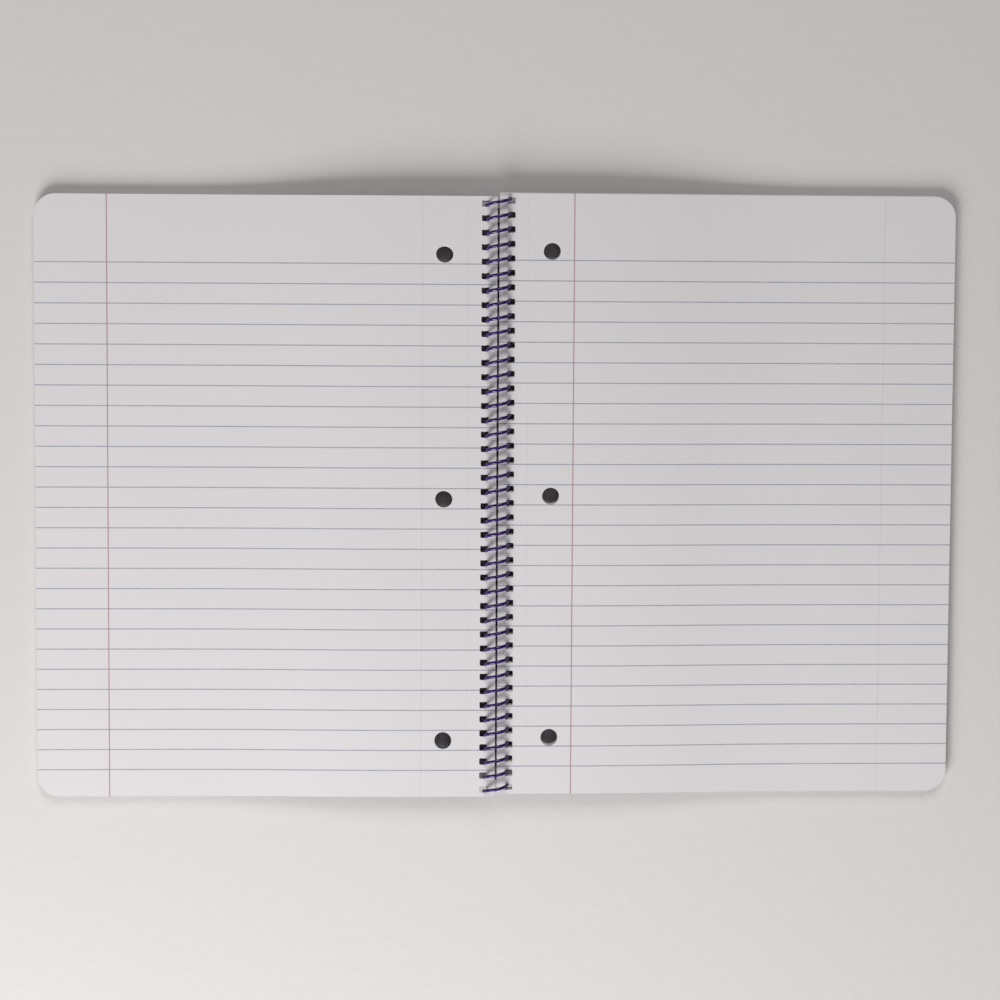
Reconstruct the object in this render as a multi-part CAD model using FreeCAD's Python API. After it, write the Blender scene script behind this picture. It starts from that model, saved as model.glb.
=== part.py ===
"""An open spiral notebook, lying flat with its two halves side by side.

Ruled sheets and two covers are punched along one edge and threaded on a plastic coil. The coil's axis
runs along Y, with the left page towards -X and the right page towards +X. The flat outer parts of the
covers lie at Z = 0, and near the coil each half rises on a shallow S curve to meet the wire.
The origin is below the middle of the notebook. All sizes are in millimetres.
"""

import FreeCAD
import Part

import math
import os

Vector = FreeCAD.Vector

# Page and covers
PAGE_WIDTH = 203.2
PAGE_HEIGHT = 266.7
CORNER_RADIUS = 9.5
SHEETS_A_SIDE = 35
SHEET_THICKNESS = 0.075
COVER_THICKNESS = 0.4
COVER_GAP = 0.5
SPINE_GAP = 0.94
COVER_SPINE_SETBACK = 1.33

# Coil: a right-handed helix along Y
PITCH = 6.35
COIL_RADIUS = 5.33
WIRE_DIAMETER = 1.45
WIRE_SIDES = 6
STEPS_A_TURN = 12
TAIL_DEGREES = 75.0

# Coil holes: the margin runs from a sheet's spine edge to the near side of its holes
HOLE_EDGE_MARGIN = 3.53
PAGE_HOLE_WIDTH = 3.4
PAGE_HOLE_LENGTH = 2.9
PAGE_HOLE_CHAMFER = 0.55
COVER_HOLE_WIDTH = 4.3
COVER_HOLE_LENGTH = 4.0
COVER_HOLE_CHAMFER = 0.0
WIRE_OFFSET_IN_PAGE_HOLE = 0.58
WIRE_OFFSET_IN_COVER_HOLE = 0.1

# Ring binder holes
RING_HOLE_DIAMETER = 7.6
RING_HOLE_MARGIN = 23.2
RING_HOLE_SPACING = 107.95
RING_HOLE_COUNT = 3

# Section of a half: level at the spine, an S curve, then flat on the surface
COVER_BELOW_AXIS = 1.665
LEVEL_WIDTH = 30.0
CURVE_LENGTH = 115.0

# Worked out from the sizes above
BLOCK_THICKNESS = SHEETS_A_SIDE * SHEET_THICKNESS
AXIS_HEIGHT = COIL_RADIUS + WIRE_DIAMETER / 2
LIFT = AXIS_HEIGHT - COVER_BELOW_AXIS
SPINE_EDGE = SPINE_GAP / 2
CURVE_ANGLE = 2 * math.atan(LIFT / CURVE_LENGTH)
CURVE_RADIUS = CURVE_LENGTH / 2 / math.sin(CURVE_ANGLE)
OUTER_EDGE = SPINE_EDGE + PAGE_WIDTH - (2 * CURVE_RADIUS * CURVE_ANGLE - CURVE_LENGTH)
FLAT_START = LEVEL_WIDTH + CURVE_LENGTH
HOLE_CENTRE = SPINE_EDGE + HOLE_EDGE_MARGIN + PAGE_HOLE_WIDTH / 2
RING_HOLE_CENTRE = SPINE_EDGE + RING_HOLE_MARGIN
HOLE_COUNT = round(PAGE_HEIGHT / PITCH)
TURNS_THROUGH_LEAVES = HOLE_COUNT - 0.5
CUT_ALLOWANCE = 1.0
SAME_LENGTH = 1e-6

# The two layers of a half: offset is the height above the cover's underside
COVER = {
    "offset": 0.0,
    "thickness": COVER_THICKNESS,
    "spine_edge": SPINE_EDGE + COVER_SPINE_SETBACK,
    "hole_width": COVER_HOLE_WIDTH,
    "hole_length": COVER_HOLE_LENGTH,
    "hole_chamfer": COVER_HOLE_CHAMFER,
    "wire_offset": WIRE_OFFSET_IN_COVER_HOLE,
}
BLOCK = {
    "offset": COVER_THICKNESS + COVER_GAP,
    "thickness": BLOCK_THICKNESS,
    "spine_edge": SPINE_EDGE,
    "hole_width": PAGE_HOLE_WIDTH,
    "hole_length": PAGE_HOLE_LENGTH,
    "hole_chamfer": PAGE_HOLE_CHAMFER,
    "wire_offset": WIRE_OFFSET_IN_PAGE_HOLE,
}


def wire_y(height):
    """Y of a right-hand crossing of the coil's wire at a height above the surface."""
    crossing_angle = math.asin((height - AXIS_HEIGHT) / COIL_RADIUS)
    return -PITCH / 4 - PITCH * crossing_angle / (2 * math.pi)


def coil_section(turn):
    """The wire's outline at a place on the helix, square to its path. turn counts from the middle, and at
    the top end of the leaves the wire is on the right, level with the axis."""
    angle = 2 * math.pi * (TURNS_THROUGH_LEAVES / 2 - turn)
    half_step = math.pi / STEPS_A_TURN
    radius = COIL_RADIUS * 2 / (1 + math.cos(half_step))
    outward = Vector(math.cos(angle), 0, math.sin(angle))
    centre = outward * radius + Vector(0, PITCH * turn, AXIS_HEIGHT)
    path = Vector(math.sin(angle) * 2 * math.pi * radius, PITCH, -math.cos(angle) * 2 * math.pi * radius)
    across = path.normalize().cross(outward)
    corners = []
    for side in range(WIRE_SIDES + 1):
        corner_angle = 2 * math.pi * side / WIRE_SIDES
        corners.append(
            centre
            + outward * (WIRE_DIAMETER / 2 * math.cos(corner_angle))
            + across * (WIRE_DIAMETER / 2 * math.sin(corner_angle))
        )
    return Part.makePolygon(corners)


def coil():
    """The helical wire, with a short tail below the leaves at each end."""
    turns = TURNS_THROUGH_LEAVES + 2 * TAIL_DEGREES / 360
    steps = math.ceil(turns * STEPS_A_TURN)
    sections = [coil_section(turns * (step / steps - 0.5)) for step in range(steps + 1)]
    return Part.makeLoft(sections, True, True)


def middle_height(layer):
    """The height of a layer's middle at the coil."""
    return LIFT + layer["offset"] + layer["thickness"] / 2


def row_middle(layer):
    """Y of the middle of a right-hand layer's row of coil holes, placed so that the wire passes them."""
    return wire_y(middle_height(layer)) - layer["wire_offset"] + PITCH / 2


def surface(offset, spine_edge):
    """Edges of a right-hand surface in section, from the outer edge to the spine edge."""
    outer = Vector(OUTER_EDGE, 0, offset)
    flat_end = Vector(FLAT_START, 0, offset)
    lower_centre = Vector(FLAT_START, 0, CURVE_RADIUS)
    upper_centre = Vector(LEVEL_WIDTH, 0, LIFT - CURVE_RADIUS)

    def on_lower(angle):
        return lower_centre - Vector(math.sin(angle), 0, math.cos(angle)) * (CURVE_RADIUS - offset)

    def on_upper(angle):
        return upper_centre + Vector(math.sin(angle), 0, math.cos(angle)) * (CURVE_RADIUS + offset)

    spine = Vector(spine_edge, 0, LIFT + offset)
    return [
        Part.LineSegment(outer, flat_end).toShape(),
        Part.Arc(flat_end, on_lower(CURVE_ANGLE / 2), on_lower(CURVE_ANGLE)).toShape(),
        Part.Arc(on_upper(CURVE_ANGLE), on_upper(CURVE_ANGLE / 2), on_upper(0)).toShape(),
        Part.LineSegment(on_upper(0), spine).toShape(),
    ]


def slab(layer):
    """A right-hand layer with rounded outer corners and no holes. The cover's ends are flush with the
    sheets' ends."""
    offset, thickness, spine_edge = layer["offset"], layer["thickness"], layer["spine_edge"]
    low = surface(offset, spine_edge)
    high = surface(offset + thickness, spine_edge)
    ends = [
        Part.LineSegment(Vector(x, 0, z), Vector(x, 0, z + thickness)).toShape()
        for x, z in ((OUTER_EDGE, offset), (spine_edge, LIFT + offset))
    ]
    section = Part.Face(Part.Wire(Part.__sortEdges__(low + high + ends)))
    section.translate(Vector(0, row_middle(BLOCK) - PAGE_HEIGHT / 2, 0))
    solid = section.extrude(Vector(0, PAGE_HEIGHT, 0))
    corners = [
        edge
        for edge in solid.Edges
        if abs(edge.Length - thickness) < SAME_LENGTH
        and all(abs(vertex.X - OUTER_EDGE) < SAME_LENGTH for vertex in edge.Vertexes)
    ]
    return solid.makeFillet(CORNER_RADIUS, corners)


def hole_outline(layer):
    """The corners of a coil hole about its middle, in order."""
    x, y = layer["hole_width"] / 2, layer["hole_length"] / 2
    chamfer = layer["hole_chamfer"]
    if chamfer:
        half = [(x, chamfer - y), (x, y - chamfer), (x - chamfer, y), (chamfer - x, y)]
    else:
        half = [(x, -y), (x, y)]
    return half + [(-a, -b) for a, b in half]


def coil_hole_tools(layer):
    """A row of prisms that follow the wire's slope through a right-hand layer."""
    thickness = layer["thickness"]
    low = LIFT + layer["offset"]
    slope = (wire_y(low + thickness) - wire_y(low)) / thickness
    start = low - CUT_ALLOWANCE
    first_y = row_middle(layer) - (HOLE_COUNT - 1) / 2 * PITCH + slope * (start - middle_height(layer))
    rise = thickness + 2 * CUT_ALLOWANCE
    tools = []
    for number in range(HOLE_COUNT):
        centre = Vector(HOLE_CENTRE, first_y + number * PITCH, start)
        corners = [centre + Vector(x, y, 0) for x, y in hole_outline(layer)]
        face = Part.Face(Part.makePolygon(corners + corners[:1]))
        tools.append(face.extrude(Vector(0, slope * rise, rise)))
    return tools


def ring_hole_tools():
    """Cylinders for the ring binder holes, through both right-hand layers."""
    height = LIFT + BLOCK["offset"] + BLOCK["thickness"] + 2 * CUT_ALLOWANCE
    tools = []
    for number in range(RING_HOLE_COUNT):
        y = row_middle(BLOCK) + (number - (RING_HOLE_COUNT - 1) / 2) * RING_HOLE_SPACING
        base = Vector(RING_HOLE_CENTRE, y, -CUT_ALLOWANCE)
        tools.append(Part.makeCylinder(RING_HOLE_DIAMETER / 2, height, base))
    return tools


def punched(layer):
    """A right-hand layer with its coil holes and ring binder holes."""
    tools = coil_hole_tools(layer) + ring_hole_tools()
    return slab(layer).cut(Part.makeCompound(tools))


def other_side(shape):
    """A right-hand shape turned half a turn about Z, onto the left."""
    turned = shape.copy()
    turned.rotate(Vector(0, 0, 0), Vector(0, 0, 1), 180)
    return turned


def build():
    """Every solid of the notebook, by the name of its node."""
    block = punched(BLOCK)
    cover = punched(COVER)
    return {
        "coil": coil(),
        "turned_sheets": other_side(block),
        "remaining_sheets": block,
        "front_cover": other_side(cover),
        "back_cover": cover,
    }


os.makedirs("parts", exist_ok=True)
for name, shape in build().items():
    shape.exportStep("parts/" + name + ".step")
print("middle of the right-hand sheets in Y:", round(row_middle(BLOCK), 4))
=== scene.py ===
"""Dresses the open spiral notebook: ruled sheets, a plastic coil, two covers and a plain studio."""

import math
import random

import bmesh
import bpy
from mathutils import Matrix, Vector


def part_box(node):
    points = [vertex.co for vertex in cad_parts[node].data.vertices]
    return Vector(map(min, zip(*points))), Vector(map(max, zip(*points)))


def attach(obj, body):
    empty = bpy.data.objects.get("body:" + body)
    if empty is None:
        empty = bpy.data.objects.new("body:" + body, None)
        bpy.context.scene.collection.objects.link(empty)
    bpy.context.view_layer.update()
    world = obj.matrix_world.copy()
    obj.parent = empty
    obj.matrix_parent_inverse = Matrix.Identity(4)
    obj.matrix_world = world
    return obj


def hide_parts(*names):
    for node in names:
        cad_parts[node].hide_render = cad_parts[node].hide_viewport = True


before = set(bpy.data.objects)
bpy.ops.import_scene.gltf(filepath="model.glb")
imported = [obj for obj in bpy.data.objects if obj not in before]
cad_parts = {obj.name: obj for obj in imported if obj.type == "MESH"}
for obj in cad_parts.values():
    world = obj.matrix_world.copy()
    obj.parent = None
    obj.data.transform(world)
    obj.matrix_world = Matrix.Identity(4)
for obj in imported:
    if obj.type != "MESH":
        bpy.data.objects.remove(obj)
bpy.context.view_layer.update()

bl_info = {
    "name": "Open spiral notebook",
    "version": (1, 0, 0),
    "blender": (4, 5, 0),
    "location": "3D View > Sidebar > Notebook",
    "description": "Builds the sheets, coil and covers of an open spiral notebook",
    "category": "Object",
}

# Read from the frame
SHEETS_LOW, SHEETS_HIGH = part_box("remaining_sheets")
COVER_LOW, COVER_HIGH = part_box("back_cover")
SPINE_EDGE = SHEETS_LOW.x
OUTER_EDGE = SHEETS_HIGH.x
PAGE_HEIGHT = SHEETS_HIGH.y - SHEETS_LOW.y
PAGE_MIDDLE = (SHEETS_HIGH.y + SHEETS_LOW.y) / 2

# Coil and section of a half. Lengths are in metres from here on
PITCH = 0.00635
COIL_RADIUS = 0.00533
WIRE_DIAMETER = 0.00145
AXIS_HEIGHT = COIL_RADIUS + WIRE_DIAMETER / 2
COVER_BELOW_AXIS = 0.001665
COVER_LIFT = AXIS_HEIGHT - COVER_BELOW_AXIS
LEVEL_WIDTH = 0.03
CURVE_LENGTH = 0.115
CURVE_ANGLE = 2 * math.atan(COVER_LIFT / CURVE_LENGTH)
CURVE_RADIUS = CURVE_LENGTH / 2 / math.sin(CURVE_ANGLE)
FLAT_START = LEVEL_WIDTH + CURVE_LENGTH
CURVE_STEPS = 14
PAGE_CORNER_RADIUS = 0.0095
CORNER_STEPS = 10

# Holes
HOLE_COUNT = round(PAGE_HEIGHT / PITCH)
HOLE_CENTRE = 0.0057
PAGE_HOLE_SIZE = (0.0034, 0.0029)
PAGE_HOLE_CORNER = 0.0006
PAGE_WIRE_OFFSET = 0.00058
COVER_HOLE_SIZE = (0.0043, 0.004)
COVER_HOLE_CORNER = 0.0008
COVER_WIRE_OFFSET = 0.0001
HOLE_CORNER_STEPS = 3
RING_HOLE_RADIUS = 0.0038
RING_HOLE_MARGIN = 0.0232
RING_HOLE_CENTRE = SPINE_EDGE + RING_HOLE_MARGIN
RING_HOLE_SPACING = 0.10795
RING_HOLE_SIDES = 32
RING_HOLE_NUMBERS = (-1, 0, 1)
TAIL_TURNS = 75 / 360
SAME_PLACE = 1e-7

# The two layers of a half
COVER_THICKNESS = COVER_HIGH.z - COVER_LIFT
BLOCK_OFFSET = SHEETS_LOW.z
BLOCK_THICKNESS = SHEETS_HIGH.z - COVER_LIFT - BLOCK_OFFSET
SHEET_SEED = 7

# Red margin lines, and where they show through from the back of a page
LEFT_MARGIN_FROM_OUTER_EDGE = 0.03175
LEFT_SHOW_THROUGH_FROM_SPINE = 0.0329
RIGHT_MARGIN_FROM_SPINE = 0.033
RIGHT_SHOW_THROUGH_FROM_OUTER_EDGE = 0.0315

# Row of tear-off slits beside the coil
SLITS_FROM_SPINE = 0.0127
SLIT_WIDTH = 0.00022
SLIT_SPACING = 0.0014
SLIT_GAP = 0.00036
# Painted shade: the paper along each slit is darkened towards this colour, standing in for the shade inside
# the cut
SLIT_SHADE_COLOUR = (0.3, 0.28, 0.28)

# How strongly each line covers the paper
RULING_STRENGTH = 0.97
MARGIN_STRENGTH = 0.78
SHOW_THROUGH_STRENGTH = 0.11
# The slits' strength sets how strongly their painted shade darkens the paper
SLIT_SHADE_STRENGTH = 0.2

# Lamps: name, place, width and power in watts
LAMPS = (
    ("key", (0.3, 2.6, 2.3), 1.8, 47.0),
    ("fill", (-0.46, -1.1, 0.7), 0.8, 22.5),
)
WORLD_COLOUR = (0.97, 0.975, 1.0)
WORLD_STRENGTH = 0.11
FLOOR_HALF_WIDTH = 4.0
SENSOR_WIDTH_MM = 36.0


class SheetSettings(bpy.types.PropertyGroup):
    """Sizes and colours of the ruled sheets."""

    count: bpy.props.IntProperty(
        name="Sheets a side",
        description="Number of sheets in each half",
        default=35,
        min=1,
    )
    air: bpy.props.FloatProperty(
        name="Air",
        description="Gap between two sheets",
        default=0.000012,
        unit="LENGTH",
    )
    stray: bpy.props.FloatProperty(
        name="Stray",
        description="Furthest that a sheet's outer edge is out of line",
        default=0.00014,
        unit="LENGTH",
    )
    paper: bpy.props.FloatVectorProperty(
        name="Paper",
        description="Colour of the paper",
        default=(0.735, 0.705, 0.72),
        subtype="COLOR",
        size=3,
    )
    blue: bpy.props.FloatVectorProperty(
        name="Ruling",
        description="Colour of the rulings",
        default=(0.315, 0.325, 0.385),
        subtype="COLOR",
        size=3,
    )
    red: bpy.props.FloatVectorProperty(
        name="Margin",
        description="Colour of the margin line",
        default=(0.37, 0.16, 0.18),
        subtype="COLOR",
        size=3,
    )
    line_width: bpy.props.FloatProperty(
        name="Line width",
        description="Width of a printed line",
        default=0.0005,
        unit="LENGTH",
    )
    ruling_spacing: bpy.props.FloatProperty(
        name="Ruling spacing",
        description="From one ruling to the next",
        default=0.009,
        unit="LENGTH",
    )
    head_margin: bpy.props.FloatProperty(
        name="Head margin",
        description="From the top edge to the first ruling",
        default=0.0295,
        unit="LENGTH",
    )
    ruling_count: bpy.props.IntProperty(
        name="Rulings",
        description="Number of rulings on a page",
        default=26,
        min=1,
    )


class CoilSettings(bpy.types.PropertyGroup):
    """Sizes and colour of the coil."""

    turns: bpy.props.FloatProperty(
        name="Turns",
        description="Length of the coil in turns",
        default=HOLE_COUNT - 0.5 + 2 * TAIL_TURNS,
    )
    steps: bpy.props.IntProperty(
        name="Steps a turn",
        description="Sections in one turn",
        default=32,
        min=8,
    )
    sides: bpy.props.IntProperty(
        name="Sides",
        description="Corners of the wire's outline",
        default=14,
        min=6,
    )
    plastic: bpy.props.FloatVectorProperty(
        name="Plastic",
        description="Colour of the wire",
        default=(0.026, 0.003, 0.1),
        subtype="COLOR",
        size=3,
    )


class CoverSettings(bpy.types.PropertyGroup):
    """Colour of the covers."""

    plastic: bpy.props.FloatVectorProperty(
        name="Plastic",
        description="Colour of the covers",
        default=(0.075, 0.022, 0.19),
        subtype="COLOR",
        size=3,
    )


class StageSettings(bpy.types.PropertyGroup):
    """Camera, floor and lights."""

    camera_distance: bpy.props.FloatProperty(
        name="Camera distance",
        description="From the camera to what it looks at",
        default=1.2,
        unit="LENGTH",
    )
    camera_towards_top: bpy.props.FloatProperty(
        name="Towards the top",
        description="How far the camera leans to +Y",
        default=math.radians(4.51),
        subtype="ANGLE",
    )
    camera_towards_left: bpy.props.FloatProperty(
        name="Towards the left",
        description="How far the camera leans to -X",
        default=math.radians(2.78),
        subtype="ANGLE",
    )
    camera_roll: bpy.props.FloatProperty(
        name="Roll",
        description="Turn of the camera about its view",
        default=math.radians(0.327),
        subtype="ANGLE",
    )
    camera_target: bpy.props.FloatVectorProperty(
        name="Target",
        description="What the camera looks at",
        default=(0.0016, -0.0017, 0.0),
        unit="LENGTH",
        size=3,
    )
    lens: bpy.props.FloatProperty(
        name="Lens",
        description="Focal length in millimetres",
        default=96.9,
    )
    floor: bpy.props.FloatVectorProperty(
        name="Floor",
        description="Colour of the floor",
        default=(0.70, 0.675, 0.655),
        subtype="COLOR",
        size=3,
    )


def new_material(name):
    """A material with a Principled shader, and that shader."""
    material = bpy.data.materials.new(name)
    material.use_nodes = True
    return material, material.node_tree.nodes["Principled BSDF"]


def feed(tree, socket, value):
    """Links a socket to a node's input, or sets the input to a number, a vector or a colour."""
    if isinstance(value, bpy.types.NodeSocket):
        tree.links.new(value, socket)
    elif socket.type == "RGBA":
        socket.default_value = (*value, 1.0)
    else:
        socket.default_value = value


def math_node(tree, operation, *values):
    """A Math node fed by sockets or numbers, and its output."""
    node = tree.nodes.new("ShaderNodeMath")
    node.operation = operation
    for socket, value in zip(node.inputs, values):
        feed(tree, socket, value)
    return node.outputs[0]


def mixed_colour(tree, amount, first, second):
    """A colour between two, each a socket or three numbers."""
    node = tree.nodes.new("ShaderNodeMix")
    node.data_type = "RGBA"
    feed(tree, node.inputs[0], amount)
    feed(tree, node.inputs[6], first)
    feed(tree, node.inputs[7], second)
    return node.outputs[2]


def object_coordinates(tree):
    """The Object output of a Texture Coordinate node."""
    return tree.nodes.new("ShaderNodeTexCoord").outputs["Object"]


def new_group(name, inputs, output):
    """An empty node group. inputs gives each input's name and kind, and output the one output's."""
    tree = bpy.data.node_groups.new(name, "ShaderNodeTree")
    for label, kind in inputs:
        tree.interface.new_socket(label, in_out="INPUT", socket_type="NodeSocket" + kind)
    label, kind = output
    tree.interface.new_socket(label, in_out="OUTPUT", socket_type="NodeSocket" + kind)
    return tree, tree.nodes.new("NodeGroupInput").outputs, tree.nodes.new("NodeGroupOutput").inputs[0]


def placed_group(tree, group, *values):
    """A node group in a material, fed by sockets or values, and its output."""
    node = tree.nodes.new("ShaderNodeGroup")
    node.node_tree = group
    for socket, value in zip(node.inputs, values):
        feed(tree, socket, value)
    return node.outputs[0]


def surface_noise_group():
    """A node group: noise about 0.5, with so many cells a metre and a stretch along each axis."""
    name = "Surface noise"
    if name in bpy.data.node_groups:
        return bpy.data.node_groups[name]
    inputs = (("Coordinates", "Vector"), ("Cells", "Float"), ("Detail", "Float"), ("Stretch", "Vector"))
    tree, entry, leave = new_group(name, inputs, ("Value", "Float"))
    stretched = tree.nodes.new("ShaderNodeVectorMath")
    stretched.operation = "MULTIPLY"
    tree.links.new(entry["Coordinates"], stretched.inputs[0])
    tree.links.new(entry["Stretch"], stretched.inputs[1])
    texture = tree.nodes.new("ShaderNodeTexNoise")
    tree.links.new(stretched.outputs["Vector"], texture.inputs["Vector"])
    tree.links.new(entry["Cells"], texture.inputs["Scale"])
    tree.links.new(entry["Detail"], texture.inputs["Detail"])
    tree.links.new(texture.outputs["Fac"], leave)
    return tree


def noise(tree, coordinates, cells, detail=2.0, stretch=(1, 1, 1)):
    """The surface noise group in a material, and its value."""
    return placed_group(tree, surface_noise_group(), coordinates, float(cells), float(detail), stretch)


def mottle_group():
    """A node group: a colour that drifts between a darkest and a lightest share of itself."""
    name = "Mottled colour"
    if name in bpy.data.node_groups:
        return bpy.data.node_groups[name]
    inputs = (
        ("Coordinates", "Vector"),
        ("Cells", "Float"),
        ("Colour", "Color"),
        ("Darkest", "Float"),
        ("Lightest", "Float"),
    )
    tree, entry, leave = new_group(name, inputs, ("Colour", "Color"))
    texture = tree.nodes.new("ShaderNodeTexNoise")
    texture.inputs["Detail"].default_value = 2.0
    tree.links.new(entry["Coordinates"], texture.inputs["Vector"])
    tree.links.new(entry["Cells"], texture.inputs["Scale"])
    shades = []
    for share in ("Darkest", "Lightest"):
        shade = tree.nodes.new("ShaderNodeVectorMath")
        shade.operation = "SCALE"
        tree.links.new(entry["Colour"], shade.inputs["Vector"])
        tree.links.new(entry[share], shade.inputs["Scale"])
        shades.append(shade.outputs["Vector"])
    tree.links.new(mixed_colour(tree, texture.outputs["Fac"], *shades), leave)
    return tree


def mottled(tree, coordinates, cells, colour, darkest, lightest):
    """The mottled colour group in a material, and its colour."""
    return placed_group(tree, mottle_group(), coordinates, cells, colour, darkest, lightest)


def uneven_gloss(tree, value, lowest, highest, shader):
    """Feeds the shader's roughness from a value, between two ends."""
    node = tree.nodes.new("ShaderNodeMapRange")
    node.inputs["To Min"].default_value = lowest
    node.inputs["To Max"].default_value = highest
    tree.links.new(value, node.inputs["Value"])
    tree.links.new(node.outputs["Result"], shader.inputs["Roughness"])


def bump(tree, height, strength, distance, shader):
    """Feeds the shader's normal from a height."""
    node = tree.nodes.new("ShaderNodeBump")
    node.inputs["Strength"].default_value = strength
    node.inputs["Distance"].default_value = distance
    tree.links.new(height, node.inputs["Height"])
    tree.links.new(node.outputs["Normal"], shader.inputs["Normal"])


def stripe_group():
    """A node group: how much of a printed line lies at a place, 1 on the line and 0 off it."""
    name = "Printed line"
    if name in bpy.data.node_groups:
        return bpy.data.node_groups[name]
    inputs = (("Place", "Float"), ("Line", "Float"), ("Width", "Float"))
    tree, entry, leave = new_group(name, inputs, ("Mask", "Float"))
    away = math_node(tree, "ABSOLUTE", math_node(tree, "SUBTRACT", entry["Place"], entry["Line"]))
    soft = tree.nodes.new("ShaderNodeMapRange")
    soft.interpolation_type = "SMOOTHSTEP"
    soft.inputs["From Min"].default_value = 0.35
    soft.inputs["From Max"].default_value = 0.65
    soft.inputs["To Min"].default_value = 1.0
    soft.inputs["To Max"].default_value = 0.0
    tree.links.new(math_node(tree, "DIVIDE", away, entry["Width"]), soft.inputs["Value"])
    tree.links.new(soft.outputs["Result"], leave)
    return tree


def stripe(tree, place, line, width):
    """The printed line group in a material, and its mask."""
    return placed_group(tree, stripe_group(), place, line, width)


def ruling_mask(tree, along, side, settings):
    """Where the rulings lie on a page."""
    first_line = side * PAGE_MIDDLE + PAGE_HEIGHT / 2 - settings.head_margin
    below = math_node(tree, "SUBTRACT", first_line, along)
    nearest = math_node(tree, "ROUND", math_node(tree, "DIVIDE", below, settings.ruling_spacing))
    number = math_node(tree, "MAXIMUM", nearest, 0.0)
    number = math_node(tree, "MINIMUM", number, float(settings.ruling_count - 1))
    line = math_node(tree, "MULTIPLY", number, settings.ruling_spacing)
    line = math_node(tree, "SUBTRACT", first_line, line)
    return stripe(tree, along, line, settings.line_width)


def paper_material(name, side, margin_from_spine, show_through_from_spine):
    """Ruled paper. side is 1 on the right and -1 on the left, and the two distances place the red line
    and the one that shows through from the back."""
    settings = bpy.context.scene.notebook_sheets
    material, shader = new_material(name)
    tree = material.node_tree
    coordinates = object_coordinates(tree)
    axes = tree.nodes.new("ShaderNodeSeparateXYZ")
    tree.links.new(coordinates, axes.inputs[0])
    across, along = axes.outputs["X"], axes.outputs["Y"]

    fibre = noise(tree, coordinates, 900.0, 4.0, (1, 1.6, 1))
    colour = mottled(tree, coordinates, 14.0, settings.paper, 0.985, 1.015)
    fibre_share = math_node(tree, "MULTIPLY", fibre, 0.05)
    colour = mixed_colour(tree, fibre_share, colour, [c * 0.7 for c in settings.paper])

    def line_from_spine(distance, width):
        return stripe(tree, across, side * (SPINE_EDGE + distance), width)

    show_through = line_from_spine(show_through_from_spine, settings.line_width)
    margin = line_from_spine(margin_from_spine, settings.line_width)
    unbroken = ruling_mask(tree, along, side, settings)
    ink = math_node(tree, "MULTIPLY_ADD", noise(tree, coordinates, 420.0), 0.5, 0.62)
    ruling = math_node(tree, "MULTIPLY", unbroken, ink)
    # Tear-off slits: a groove in the bump, and painted shade darkening the paper along each cut
    distance_in_slit = math_node(tree, "PINGPONG", along, SLIT_SPACING / 2)
    between_gaps = math_node(tree, "GREATER_THAN", distance_in_slit, SLIT_GAP / 2)
    slit = math_node(tree, "MULTIPLY", line_from_spine(SLITS_FROM_SPINE, SLIT_WIDTH), between_gaps)
    for mask, strength, line_colour in (
        (show_through, SHOW_THROUGH_STRENGTH, settings.red),
        (margin, MARGIN_STRENGTH, settings.red),
        (ruling, RULING_STRENGTH, settings.blue),
        (slit, SLIT_SHADE_STRENGTH, SLIT_SHADE_COLOUR),
    ):
        colour = mixed_colour(tree, math_node(tree, "MULTIPLY", mask, strength), colour, line_colour)
    tree.links.new(colour, shader.inputs["Base Color"])
    shader.inputs["Roughness"].default_value = 0.74
    shader.inputs["Specular IOR Level"].default_value = 0.32
    height = math_node(tree, "SUBTRACT", math_node(tree, "MULTIPLY", fibre, 0.6), slit)
    bump(tree, height, 0.25, 0.00004, shader)
    return material


def coil_material():
    """Glossy moulded plastic, a little uneven in its gloss."""
    settings = bpy.context.scene.notebook_coil
    material, shader = new_material("Coil plastic")
    tree = material.node_tree
    coordinates = object_coordinates(tree)
    colour = mottled(tree, coordinates, 260.0, settings.plastic, 0.8, 1.3)
    tree.links.new(colour, shader.inputs["Base Color"])
    uneven_gloss(tree, noise(tree, coordinates, 900.0, 3.0), 0.08, 0.15, shader)
    shader.inputs["IOR"].default_value = 1.53
    bump(tree, noise(tree, coordinates, 1400.0), 0.12, 0.00005, shader)
    return material


def cover_material():
    """Satin sheet plastic with a fine grain."""
    settings = bpy.context.scene.notebook_covers
    material, shader = new_material("Cover plastic")
    tree = material.node_tree
    coordinates = object_coordinates(tree)
    colour = mottled(tree, coordinates, 22.0, settings.plastic, 0.92, 1.1)
    tree.links.new(colour, shader.inputs["Base Color"])
    grain = noise(tree, coordinates, 2600.0, 1.0)
    uneven_gloss(tree, grain, 0.36, 0.52, shader)
    shader.inputs["IOR"].default_value = 1.49
    bump(tree, grain, 0.3, 0.00005, shader)
    return material


def wire_y(height):
    """Y of a right-hand crossing of the coil's wire at a height above the floor."""
    crossing_angle = math.asin((height - AXIS_HEIGHT) / COIL_RADIUS)
    return -PITCH / 4 - PITCH * crossing_angle / (2 * math.pi)


def add_rounded_rectangle(mesh, centre, size, corner):
    """A rounded rectangle in the plane of the sheet."""
    place = Matrix.Translation(centre) @ Matrix.Diagonal((size[0], size[1], 1, 1))
    corners = bmesh.ops.create_grid(mesh, x_segments=1, y_segments=1, size=0.5, matrix=place)["verts"]
    bmesh.ops.bevel(
        mesh,
        geom=corners,
        affect="VERTICES",
        offset=corner,
        segments=HOLE_CORNER_STEPS,
        profile=0.5,
        material=-1,
    )


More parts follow.
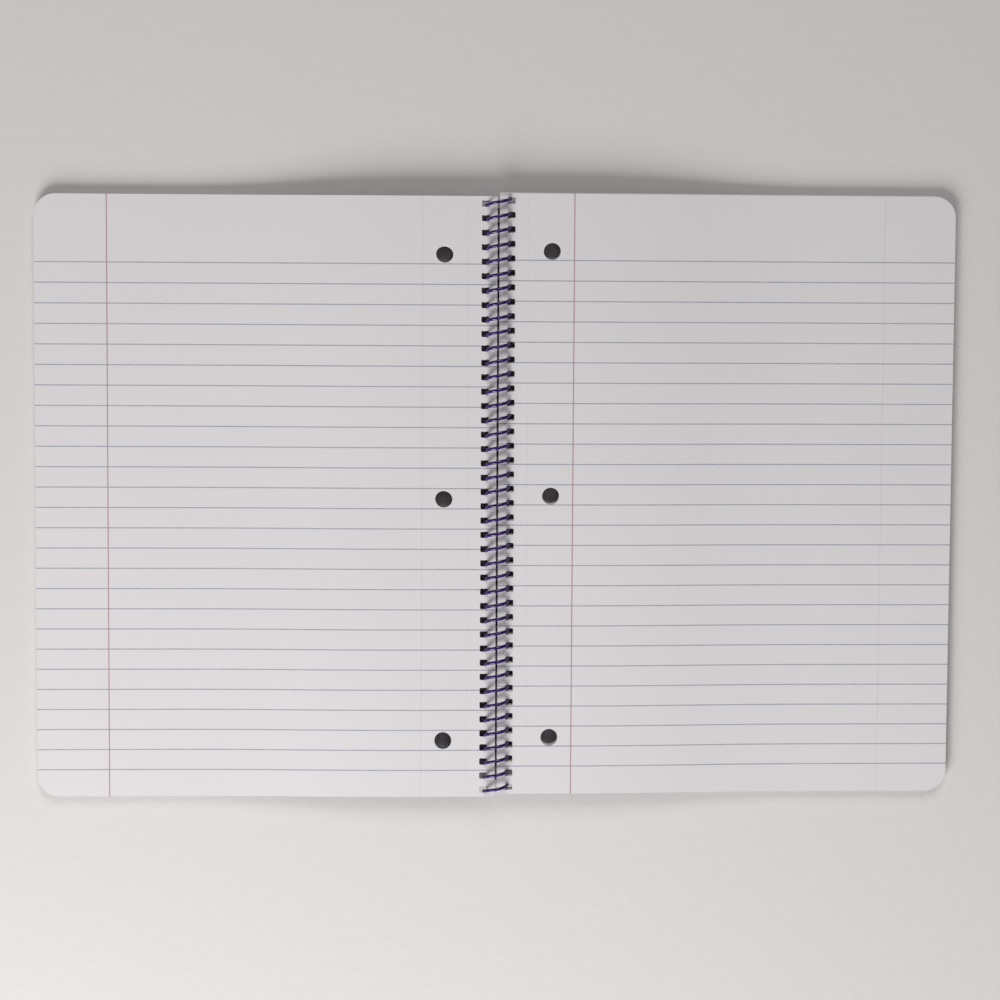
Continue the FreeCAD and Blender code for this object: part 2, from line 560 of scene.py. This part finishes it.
def flat_strip(spine_edge, hole_size, hole_corner, hole_middle):
    """The punched part of a right-hand leaf, from the spine edge to the end of its level stretch."""
    mesh = bmesh.new()
    for number in range(HOLE_COUNT):
        y = hole_middle + (number - (HOLE_COUNT - 1) / 2) * PITCH
        add_rounded_rectangle(mesh, Vector((HOLE_CENTRE, y, 0)), hole_size, hole_corner)
    for number in RING_HOLE_NUMBERS:
        place = Matrix.Translation((RING_HOLE_CENTRE, PAGE_MIDDLE + number * RING_HOLE_SPACING, 0))
        bmesh.ops.create_circle(mesh, segments=RING_HOLE_SIDES, radius=RING_HOLE_RADIUS, matrix=place)
    size = Matrix.Diagonal((LEVEL_WIDTH - spine_edge, PAGE_HEIGHT, 1, 1))
    place = Matrix.Translation(((LEVEL_WIDTH + spine_edge) / 2, PAGE_MIDDLE, 0))
    bmesh.ops.create_grid(mesh, x_segments=1, y_segments=1, size=0.5, matrix=place @ size)
    bmesh.ops.delete(mesh, geom=mesh.faces[:], context="FACES_ONLY")
    bmesh.ops.triangle_fill(mesh, edges=mesh.edges[:], use_beauty=True, normal=(0, 0, 1))
    return mesh


def extend_leaf(mesh):
    """Carries a punched strip on to the outer edge, with rounded corners there."""
    seam = [edge for edge in mesh.edges if all(abs(v.co.x - LEVEL_WIDTH) < SAME_PLACE for v in edge.verts)]
    stations = [LEVEL_WIDTH + CURVE_LENGTH * (step + 1) / CURVE_STEPS for step in range(CURVE_STEPS)]
    x = LEVEL_WIDTH
    for station in stations + [OUTER_EDGE]:
        fresh = bmesh.ops.extrude_edge_only(mesh, edges=seam)["geom"]
        moved = [item for item in fresh if isinstance(item, bmesh.types.BMVert)]
        bmesh.ops.translate(mesh, verts=moved, vec=(station - x, 0, 0))
        seam = [
            item
            for item in fresh
            if isinstance(item, bmesh.types.BMEdge) and all(vertex in moved for vertex in item.verts)
        ]
        x = station
    outer = [vertex for vertex in mesh.verts if abs(vertex.co.x - OUTER_EDGE) < SAME_PLACE]
    bmesh.ops.bevel(
        mesh,
        geom=outer,
        affect="VERTICES",
        offset=PAGE_CORNER_RADIUS,
        segments=CORNER_STEPS,
        profile=0.5,
        material=-1,
    )


def flat_leaf(spine_edge, hole_size, hole_corner, hole_middle):
    """One right-hand leaf, flat and with no thickness, punched for the coil and for a ring binder.
    hole_middle is the Y of the middle of its row of coil holes."""
    mesh = flat_strip(spine_edge, hole_size, hole_corner, hole_middle)
    extend_leaf(mesh)
    bmesh.ops.recalc_face_normals(mesh, faces=mesh.faces[:])
    if mesh.faces[0].normal.z < 0:
        bmesh.ops.reverse_faces(mesh, faces=mesh.faces[:])
    return mesh


def thicken(mesh, thickness, lean):
    """Gives a flat leaf its thickness upwards. lean is how far the hole walls lean along Y."""
    bmesh.ops.reverse_faces(mesh, faces=mesh.faces[:])
    raised = bmesh.ops.extrude_face_region(mesh, geom=mesh.faces[:], use_keep_orig=True)["geom"]
    top = [item for item in raised if isinstance(item, bmesh.types.BMVert)]
    bmesh.ops.translate(mesh, verts=top, vec=(0, lean, thickness))
    bmesh.ops.recalc_face_normals(mesh, faces=mesh.faces[:])


def bend(mesh):
    """Lays flat leaves, stacked upwards from zero, on the S curve of a right-hand half."""
    for vertex in mesh.verts:
        along, offset = vertex.co.x, vertex.co.z
        if along <= LEVEL_WIDTH:
            vertex.co.z = COVER_LIFT + offset
        elif along >= FLAT_START:
            vertex.co.z = offset
        else:
            share = (along - LEVEL_WIDTH) / CURVE_LENGTH * 2
            if share <= 1:
                angle = CURVE_ANGLE * share
                vertex.co.x = LEVEL_WIDTH + math.sin(angle) * (CURVE_RADIUS + offset)
                vertex.co.z = COVER_LIFT - CURVE_RADIUS + math.cos(angle) * (CURVE_RADIUS + offset)
            else:
                angle = CURVE_ANGLE * (2 - share)
                vertex.co.x = FLAT_START - math.sin(angle) * (CURVE_RADIUS - offset)
                vertex.co.z = CURVE_RADIUS - math.cos(angle) * (CURVE_RADIUS - offset)


def finished(mesh, name, side, material, body, node):
    """Makes an object of a right-hand mesh, turned half a turn for the left, and ties it to the frame."""
    if side < 0:
        bmesh.ops.rotate(mesh, verts=mesh.verts[:], cent=(0, 0, 0), matrix=Matrix.Rotation(math.pi, 3, "Z"))
    data = bpy.data.meshes.new(name)
    mesh.to_mesh(data)
    mesh.free()
    data.materials.append(material)
    piece = bpy.data.objects.new(name, data)
    bpy.context.scene.collection.objects.link(piece)
    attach(piece, body)
    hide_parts(node)
    return piece


class NOTEBOOK_OT_sheets(bpy.types.Operator):
    """Both stacks of ruled sheets"""

    bl_idname = "notebook.sheets"
    bl_label = "Ruled sheets"

    def execute(self, context):
        settings = context.scene.notebook_sheets
        page_width = OUTER_EDGE - SPINE_EDGE
        left = paper_material(
            "Paper, left page", -1, page_width - LEFT_MARGIN_FROM_OUTER_EDGE, LEFT_SHOW_THROUGH_FROM_SPINE
        )
        right = paper_material(
            "Paper, right page", 1, RIGHT_MARGIN_FROM_SPINE, page_width - RIGHT_SHOW_THROUGH_FROM_OUTER_EDGE
        )
        draws = random.Random(SHEET_SEED)
        for side, node, material in ((-1, "turned_sheets", left), (1, "remaining_sheets", right)):
            stack = self.stack(settings, draws)
            finished(stack, node + "_pages", side, material, node, node)
        return {"FINISHED"}

    def stack(self, settings, draws):
        """A right-hand stack of loose sheets. They keep in line at the coil and stray towards the outer
        edge, all but the top one."""
        step = BLOCK_THICKNESS / settings.count
        reach = OUTER_EDGE - HOLE_CENTRE
        middle_height = COVER_LIFT + BLOCK_OFFSET + BLOCK_THICKNESS / 2
        row = wire_y(middle_height) - PAGE_WIRE_OFFSET + PITCH / 2
        flat = flat_leaf(SPINE_EDGE, PAGE_HOLE_SIZE, PAGE_HOLE_CORNER, row)
        from_holes = Matrix.Translation((-HOLE_CENTRE, 0, 0))
        stack = bmesh.new()
        for number in range(settings.count):
            low = BLOCK_OFFSET + number * step
            height = COVER_LIFT + low
            lean = wire_y(height + step) - wire_y(height)
            shift = wire_y(height + step / 2) - wire_y(middle_height)
            across, along, rise = 0.0, 0.0, settings.air
            if number < settings.count - 1:
                across = draws.uniform(-1, 0) * settings.stray / reach
                along = draws.uniform(-1, 1) * settings.stray / reach
                rise = 0.0
            sheet = flat.copy()
            thicken(sheet, step - settings.air, lean)
            stray = Matrix(((1 + across, 0, 0, 0), (along, 1, 0, 0), (0, 0, 1, 0), (0, 0, 0, 1)))
            place = Matrix.Translation((HOLE_CENTRE, shift - lean / 2, low + rise))
            bmesh.ops.transform(sheet, matrix=place @ stray @ from_holes, verts=sheet.verts[:])
            loose = bpy.data.meshes.new("one sheet")
            sheet.to_mesh(loose)
            sheet.free()
            stack.from_mesh(loose)
            bpy.data.meshes.remove(loose)
        flat.free()
        bend(stack)
        return stack


class NOTEBOOK_OT_covers(bpy.types.Operator):
    """Both covers"""

    bl_idname = "notebook.covers"
    bl_label = "Covers"

    def execute(self, context):
        material = cover_material()
        middle_height = COVER_LIFT + COVER_THICKNESS / 2
        row = wire_y(middle_height) - COVER_WIRE_OFFSET + PITCH / 2
        lean = wire_y(COVER_LIFT + COVER_THICKNESS) - wire_y(COVER_LIFT)
        for side, node in ((-1, "front_cover"), (1, "back_cover")):
            leaf = flat_leaf(COVER_LOW.x, COVER_HOLE_SIZE, COVER_HOLE_CORNER, row - lean / 2)
            thicken(leaf, COVER_THICKNESS, lean)
            bend(leaf)
            finished(leaf, node + "_sheet", side, material, node, node)
        return {"FINISHED"}


class NOTEBOOK_OT_coil(bpy.types.Operator):
    """The plastic coil"""

    bl_idname = "notebook.coil"
    bl_label = "Coil"

    def execute(self, context):
        settings = context.scene.notebook_coil
        steps = math.ceil(settings.turns * settings.steps)
        total = 2 * math.pi * settings.turns
        advance = PITCH * settings.turns
        axis = Vector((0, 0, AXIS_HEIGHT))
        rise = math.atan2(PITCH, 2 * math.pi * COIL_RADIUS)
        mesh = bmesh.new()
        section = bmesh.ops.create_circle(
            mesh, segments=settings.sides, radius=WIRE_DIAMETER / 2, cap_ends=True
        )["verts"]
        bmesh.ops.rotate(mesh, verts=section, cent=(0, 0, 0), matrix=Matrix.Rotation(math.pi / 2, 3, "Y"))
        bmesh.ops.rotate(mesh, verts=section, cent=(0, 0, 0), matrix=Matrix.Rotation(-rise, 3, "Z"))
        bmesh.ops.translate(mesh, verts=section, vec=(0, -advance / 2, AXIS_HEIGHT - COIL_RADIUS))
        bmesh.ops.rotate(mesh, verts=section, cent=axis, matrix=Matrix.Rotation(-total / 2, 3, "Y"))
        bmesh.ops.spin(
            mesh,
            geom=mesh.faces[:] + mesh.edges[:] + mesh.verts[:],
            cent=axis,
            axis=(0, 1, 0),
            dvec=(0, advance / steps, 0),
            angle=total,
            steps=steps,
        )
        bmesh.ops.remove_doubles(mesh, verts=mesh.verts[:], dist=SAME_PLACE)
        bmesh.ops.recalc_face_normals(mesh, faces=mesh.faces[:])
        coil = finished(mesh, "coil_wire", 1, coil_material(), "coil", "coil")
        for face in coil.data.polygons:
            face.use_smooth = True
        return {"FINISHED"}


class NOTEBOOK_OT_stage(bpy.types.Operator):
    """Floor, lights and camera"""

    bl_idname = "notebook.stage"
    bl_label = "Stage"

    def execute(self, context):
        scene = context.scene
        settings = scene.notebook_stage
        self.floor(settings)
        self.lights(scene)
        self.camera(scene, settings)
        scene.view_settings.view_transform = "Standard"
        return {"FINISHED"}

    def floor(self, settings):
        """A plain pale floor with a slight mottle."""
        mesh = bmesh.new()
        bmesh.ops.create_grid(mesh, x_segments=1, y_segments=1, size=FLOOR_HALF_WIDTH)
        data = bpy.data.meshes.new("floor")
        mesh.to_mesh(data)
        mesh.free()
        floor = bpy.data.objects.new("floor", data)
        bpy.context.scene.collection.objects.link(floor)
        material, shader = new_material("Floor")
        tree = material.node_tree
        coordinates = object_coordinates(tree)
        colour = mottled(tree, coordinates, 3.0, settings.floor, 0.99, 1.01)
        tree.links.new(colour, shader.inputs["Base Color"])
        shader.inputs["Roughness"].default_value = 0.9
        shader.inputs["Specular IOR Level"].default_value = 0.2
        bump(tree, noise(tree, coordinates, 160.0, 3.0), 0.15, 0.001, shader)
        data.materials.append(material)

    def lights(self, scene):
        """A wide soft lamp beyond the top of the pages, a fill from the lower left, and a pale world."""
        for name, place, size, power in LAMPS:
            data = bpy.data.lights.new(name, "AREA")
            data.size = size
            data.energy = power
            lamp = bpy.data.objects.new(name, data)
            lamp.location = place
            lamp.rotation_euler = (-Vector(place)).to_track_quat("-Z", "Y").to_euler()
            scene.collection.objects.link(lamp)
        world = bpy.data.worlds.new("Studio")
        world.use_nodes = True
        background = world.node_tree.nodes["Background"]
        background.inputs["Color"].default_value = (*WORLD_COLOUR, 1.0)
        background.inputs["Strength"].default_value = WORLD_STRENGTH
        scene.world = world

    def camera(self, scene, settings):
        """The camera at the photograph's angle, looking down."""
        data = bpy.data.cameras.new("camera")
        data.lens = settings.lens
        data.sensor_width = SENSOR_WIDTH_MM
        camera = bpy.data.objects.new("camera", data)
        left = math.tan(settings.camera_towards_left)
        top = math.tan(settings.camera_towards_top)
        away = Vector((-left, top, 1)).normalized()
        up = (Vector((0, 1, 0)) - away * away.y).normalized()
        across = up.cross(away)
        turned_across = across * math.cos(settings.camera_roll) + up * math.sin(settings.camera_roll)
        turned_up = away.cross(turned_across)
        rotation = Matrix((turned_across, turned_up, away)).transposed()
        place = Vector(settings.camera_target) + away * settings.camera_distance
        camera.matrix_world = Matrix.Translation(place) @ rotation.to_4x4()
        scene.collection.objects.link(camera)
        scene.camera = camera


class NOTEBOOK_PT_panel(bpy.types.Panel):
    """Lists the notebook's operators"""

    bl_label = "Notebook"
    bl_idname = "NOTEBOOK_PT_panel"
    bl_space_type = "VIEW_3D"
    bl_region_type = "UI"
    bl_category = "Notebook"

    def draw(self, context):
        for operator in OPERATORS:
            self.layout.operator(operator.bl_idname)


OPERATORS = (NOTEBOOK_OT_sheets, NOTEBOOK_OT_covers, NOTEBOOK_OT_coil, NOTEBOOK_OT_stage)
SETTINGS = {
    "notebook_sheets": SheetSettings,
    "notebook_coil": CoilSettings,
    "notebook_covers": CoverSettings,
    "notebook_stage": StageSettings,
}


def register():
    for item in (*SETTINGS.values(), *OPERATORS, NOTEBOOK_PT_panel):
        bpy.utils.register_class(item)
    for name, group in SETTINGS.items():
        setattr(bpy.types.Scene, name, bpy.props.PointerProperty(type=group))


def unregister():
    for name in SETTINGS:
        delattr(bpy.types.Scene, name)
    for item in (NOTEBOOK_PT_panel, *reversed(OPERATORS), *SETTINGS.values()):
        bpy.utils.unregister_class(item)


def main():
    register()
    bpy.ops.notebook.sheets()
    bpy.ops.notebook.covers()
    bpy.ops.notebook.coil()
    bpy.ops.notebook.stage()


if __name__ == "__main__":
    main()
